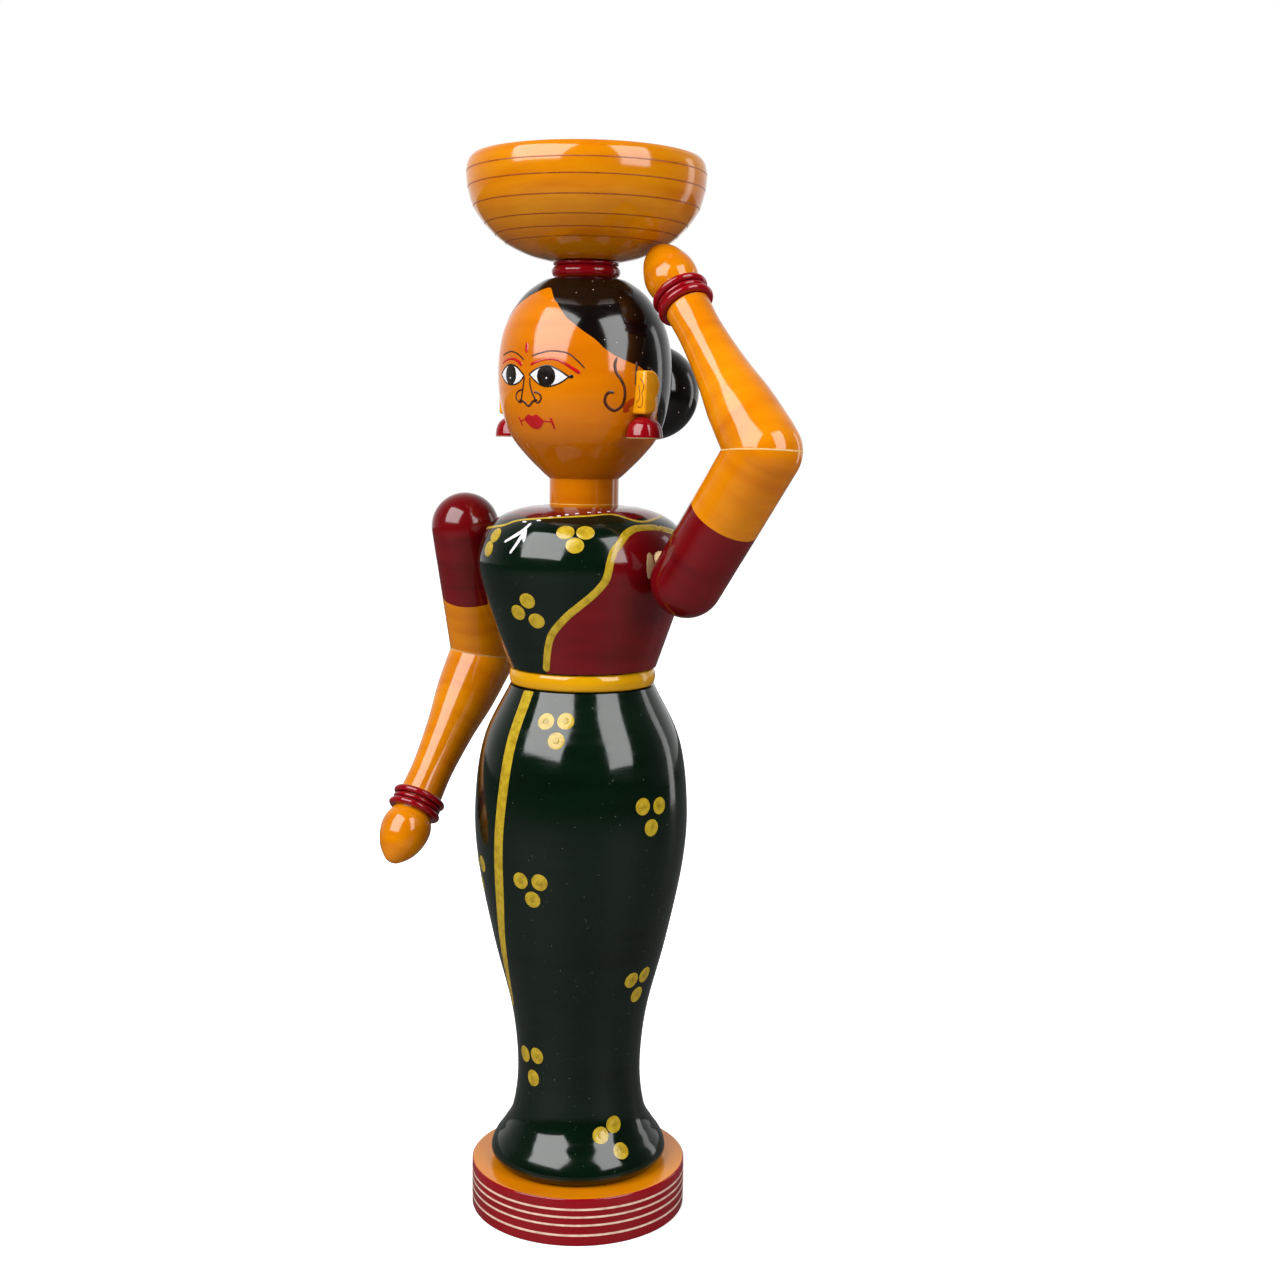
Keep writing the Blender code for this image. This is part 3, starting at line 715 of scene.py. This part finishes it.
def make_ear(side, sign):
    """Carved block that stands out from the head, flat in front and scalloped behind."""
    height, inner, outer, front = 276.3, 26.0, 32.3, 3.4
    across = [(-front, -6.9), (-front, 6.7)]
    across += curve([(0.5, 6.8), (2.6, 5.2), (3.5, 2.2), (2.8, -0.6), (1.9, -2.2), (2.2, -4.0),
                     (1.2, -6.0), (-1.0, -6.9)], 5)
    shape = bmesh.new()
    tube(shape, [[(sign * reach, a, up) for a, up in across] for reach in (0, outer - inner)])
    bmesh.ops.recalc_face_normals(shape, faces=shape.faces)
    turn = Matrix.Rotation(radians(-sign * (90 - EAR_ANGLE)), 4, "Z")
    where = Matrix.Translation((heading(sign * EAR_ANGLE) * inner + UP * height) * MM) @ turn
    piece(f"ear_{side}_carved", shape, EAR, "head", [f"ear_{side}"], where, rounded=0.8)
    flat = 180 / pi             # on a turned side of this radius, in mm, a degree is a millimetre
    folds = Paint(Side([(flat, -8), (flat, 0), (flat, 8)]))
    for line in ([(-0.6, 4.5), (1.0, 2.8), (1.3, 1.1), (0.5, -0.3), (1.0, -2.9), (0.0, -4.8), (-1.7, -4.3)],
                 [(-0.9, 2.2), (-0.5, 0.3), (-0.6, -2.0), (-2.0, -3.4)]):
        folds.stroke([(sign * reach, up) for reach, up in line], 0.4)
    middle = sign * 4.4
    at_front = where @ Matrix.Translation((middle * MM, (flat - front) * MM, 0))
    folds.make(f"ear_{side}_folds", PAINT_LINE, "head", where=at_front)


def make_earring(side, sign):
    drop = arc(0.3, 0.3, -90, 0, 3, 5.6) + curve([(5.9, 1.0), (5.6, 2.9), (4.7, 4.9), (2.9, 6.4)], 6)
    outline = [(0, 0)] + drop + [(1.5, 6.9), (0, 7.2)]
    shape = spun(outline, SMALL)
    for face in shape.faces:
        if face.calc_center_median().z < 0.55 * MM:
            face.material_index = 1
    reach, height = 28.6, 261.8
    where = pose(heading(sign * EAR_ANGLE) * reach + UP * height)
    piece(f"earring_{side}_turned", shape, (RED, WOOD), "head", [f"earring_{side}"],
          where)


# ---------------------------------------------------------------- arms

def make_upper_arm(side, where, point, normal):
    """Arm with two round ends in a maroon sleeve, cut to the elbow's mitre plane."""
    outline = arc(ARM_RADIUS, 0, -90, 0, 20) + [(ARM_RADIUS, 13), (ARM_RADIUS, SLEEVE)]
    outline += [(ARM_RADIUS, 38)] + arc(ARM_RADIUS, UPPER_ARM, 0, 90, 20)
    inside = where.inverted()
    shape = spun(outline, SMALL)
    for face in shape.faces:
        if face.calc_center_median().z > SLEEVE * MM:
            face.material_index = 1
    shape = mitre(shape, inside @ (point * MM), inside.to_3x3() @ normal)
    piece(f"upper_arm_{side}_turned", shape, (MAROON, SKIN), f"{side}_arm",
          [f"upper_arm_{side}"], where)


def make_forearm(side, where, point, normal):
    line = curve([(11.5, 4.0), (10.4, 17.5), (8.4, 31.0), (7.1, 46.0), (7.2, FOREARM - BANGLE_HALF)])
    outline = arc(ARM_RADIUS, 0, -90, 0, 20) + line + [(0, FOREARM - BANGLE_HALF)]
    inside = where.inverted()
    shape = mitre(spun(outline, SMALL), inside @ (point * MM), inside.to_3x3() @ -normal)
    piece(f"forearm_{side}_turned", shape, SKIN, f"{side}_arm",
          [f"forearm_{side}"], where)


def make_filler(side, elbow, along, normal):
    """Pale glue line squeezed out at the elbow joint."""
    where = pose(elbow, along)
    inside = where.inverted()
    reach = ARM_RADIUS + 0.05
    shape = spun([(0, -40), (reach, -40)] + arc(reach, 0, 0, 90, 20), SMALL)
    for way in (1, -1):
        point = inside @ ((elbow + normal * way * 0.22) * MM)
        shape = mitre(shape, point, inside.to_3x3() @ (normal * way))
    piece(f"elbow_filler_{side}", shape, FILLER, f"{side}_arm", where=where)


def make_hand(side, where):
    wrist = [(0, -3.4), (WRIST_RADIUS, -3.4), (WRIST_RADIUS, BANGLE_HALF)]
    egg = curve([(7.0, BANGLE_HALF + 0.2), (8.3, 7.5), (8.2, 12.0), (6.2, 17.4), (2.6, 21.4), (0, HAND)])
    piece(f"hand_{side}_turned", spun(wrist + egg, SMALL), SKIN, f"{side}_arm",
          [f"hand_{side}"], where)


def make_bangles(side, where):
    for number, place, half in BANGLES:
        ring = [(WRIST_RADIUS, -half * 0.9)]
        ring += arc(half, 0, -80, 80, 12, WRIST_RADIUS + GAP + half)
        ring += [(WRIST_RADIUS, half * 0.9)]
        shape = bmesh.new()
        turns = [2 * pi * i / SMALL for i in range(SMALL)]
        tube(shape, [[(r * cos(t), r * sin(t), z) for r, z in ring] for t in turns], closed=True)
        bmesh.ops.recalc_face_normals(shape, faces=shape.faces)
        name = f"bangle_{side}_{number}"
        at = where @ Matrix.Translation((0, 0, place * MM))
        piece(f"{name}_turned", shape, RED, f"{side}_arm", [name], at)


def make_arm(side):
    angle, reach, height, upper, lower = ARMS[side]
    dome_at = heading(angle) * reach + UP * height
    along, onward = heading(*upper), heading(*lower)
    elbow = dome_at + along * UPPER_ARM
    normal = (along + onward).normalized()
    make_upper_arm(side, pose(dome_at, along), elbow - normal * 0.15, normal)
    make_forearm(side, pose(elbow, onward), elbow + normal * 0.15, normal)
    make_filler(side, elbow, along, normal)
    wrist = pose(elbow + onward * FOREARM, onward)
    make_hand(side, wrist)
    make_bangles(side, wrist)


def finish_hidden_wood():
    """Bare wood on the CAD's own dowels, pins and pegs."""
    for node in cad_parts.values():
        if not node.hide_render:
            node.data.materials.clear()
            node.data.materials.append(WOOD)


# ---------------------------------------------------------------- studio

YAW = radians(40.8)             # camera's heading from the face towards her left
DISTANCE = 561.455
EYE_HEIGHT = 262.75
PITCH, PAN, ROLL = 0.120, 0.034, 0.013
LENS, SENSOR = 47.674, 36.0


def add_camera():
    forward = Vector((sin(PAN) * cos(PITCH), cos(PAN) * cos(PITCH), -sin(PITCH)))
    level = Vector((cos(PAN), -sin(PAN), 0))
    above = level.cross(forward)
    right = level * cos(ROLL) + above * sin(ROLL)
    up = above * cos(ROLL) - level * sin(ROLL)
    data = bpy.data.cameras.new("camera")
    data.lens, data.sensor_width = LENS, SENSOR
    data.clip_start, data.clip_end = 0.01, 50
    camera = bpy.data.objects.new("camera", data)
    turn = Matrix((right, up, -forward)).transposed()
    place = Matrix.Translation(Vector((0, -DISTANCE, EYE_HEIGHT)) * MM) @ turn.to_4x4()
    camera.matrix_world = Matrix.Rotation(YAW, 4, "Z") @ place
    bpy.context.scene.collection.objects.link(camera)
    bpy.context.scene.camera = camera


# name, heading from the face, rise above level, distance, width and height (m), radiance
SOFTBOXES = (
    ("softbox_left", -7, 37, 0.9, 0.8, 0.75, 7.5),
    ("softbox_right", 86, 31, 0.9, 0.47, 0.75, 6.5),
    ("softbox_rim", 156, 8, 0.9, 0.16, 0.7, 2.0),
)


def add_softbox(name, angle, rise, distance, wide, tall, radiance):
    """Rectangular softbox that faces the doll; radiance is its brightness."""
    data = bpy.data.lights.new(name, "AREA")
    data.shape = "RECTANGLE"
    data.size, data.size_y = wide, tall
    data.energy = radiance * pi * wide * tall
    light = bpy.data.objects.new(name, data)
    target = Vector((0, 0, 0.2))
    light.location = target + heading(angle, rise) * distance
    light.rotation_mode = "QUATERNION"
    light.rotation_quaternion = (target - light.location).to_track_quat("-Z", "Y")
    bpy.context.scene.collection.objects.link(light)


def grey(level):
    """Neutral colour for a socket."""
    return (level, level, level, 1)


def add_surround():
    """White studio: bright behind the doll, dark behind the camera, white where it is seen."""
    world = bpy.data.worlds.new("studio")
    world.use_nodes = True
    bpy.context.scene.world = world
    tree = world.node_tree
    tree.nodes.clear()
    place = tree.nodes.new("ShaderNodeTexCoord")
    facing = tree.nodes.new("ShaderNodeVectorMath")
    facing.operation = "DOT_PRODUCT"
    away = Matrix.Rotation(YAW, 3, "Z") @ Vector((0, 1, 0))
    facing.inputs[1].default_value = away
    tree.links.new(place.outputs["Generated"], facing.inputs[0])
    behind = spread(tree, facing.outputs["Value"], 0, 1, -1, 1)
    levels = ((0.0, 0.01), (0.35, 0.02), (0.55, 0.08), (0.75, 0.34), (1.0, 1.0))
    glow = ramp(tree, behind, *[(share, grey(level)[:3]) for share, level in levels])
    seen = tree.nodes.new("ShaderNodeLightPath")
    colour = blend(tree, seen.outputs["Is Camera Ray"], glow, grey(1))
    light = tree.nodes.new("ShaderNodeBackground")
    tree.links.new(colour, light.inputs["Color"])
    output = tree.nodes.new("ShaderNodeOutputWorld")
    tree.links.new(light.outputs["Background"], output.inputs["Surface"])


def add_floor():
    """White paper that glows a little to the camera and stays dim in reflections."""
    shape = bmesh.new()
    bmesh.ops.create_circle(shape, cap_ends=True, segments=96, radius=3.0)
    mesh = bpy.data.meshes.new("floor")
    shape.to_mesh(mesh)
    shape.free()
    floor = bpy.data.objects.new("floor", mesh)
    material = bpy.data.materials.new("floor_paper")
    material.use_nodes = True
    tree = material.node_tree
    shader = tree.nodes["Principled BSDF"]
    shader.inputs["Roughness"].default_value = 0.6
    seen = tree.nodes.new("ShaderNodeLightPath")
    place = tree.nodes.new("ShaderNodeTexCoord")
    reach = tree.nodes.new("ShaderNodeVectorMath")
    reach.operation = "LENGTH"
    tree.links.new(place.outputs["Object"], reach.inputs[0])
    bounced = blend(tree, seen.outputs["Is Diffuse Ray"], grey(0.09), grey(0.4))
    tone = blend(tree, seen.outputs["Is Camera Ray"], bounced, grey(0.9))
    tree.links.new(tone, shader.inputs["Base Color"])
    glow = spread(tree, reach.outputs["Value"], 0.45, 1.0, 0.06, 0.35)
    lit = blend(tree, seen.outputs["Is Camera Ray"], grey(0), grey(1))
    tree.links.new(lit, shader.inputs["Emission Color"])
    tree.links.new(glow, shader.inputs["Emission Strength"])
    mesh.materials.append(material)
    bpy.context.scene.collection.objects.link(floor)


make_base()
make_skirt()
make_belt()
make_torso()
make_head()
make_head_ring()
make_bowl()
make_bun()
for side, sign in (("left", 1), ("right", -1)):
    make_ear(side, sign)
    make_earring(side, sign)
    make_arm(side)
finish_hidden_wood()
add_camera()
add_surround()
add_floor()
for softbox in SOFTBOXES:
    add_softbox(*softbox)
bpy.context.scene.view_settings.view_transform = "Standard"
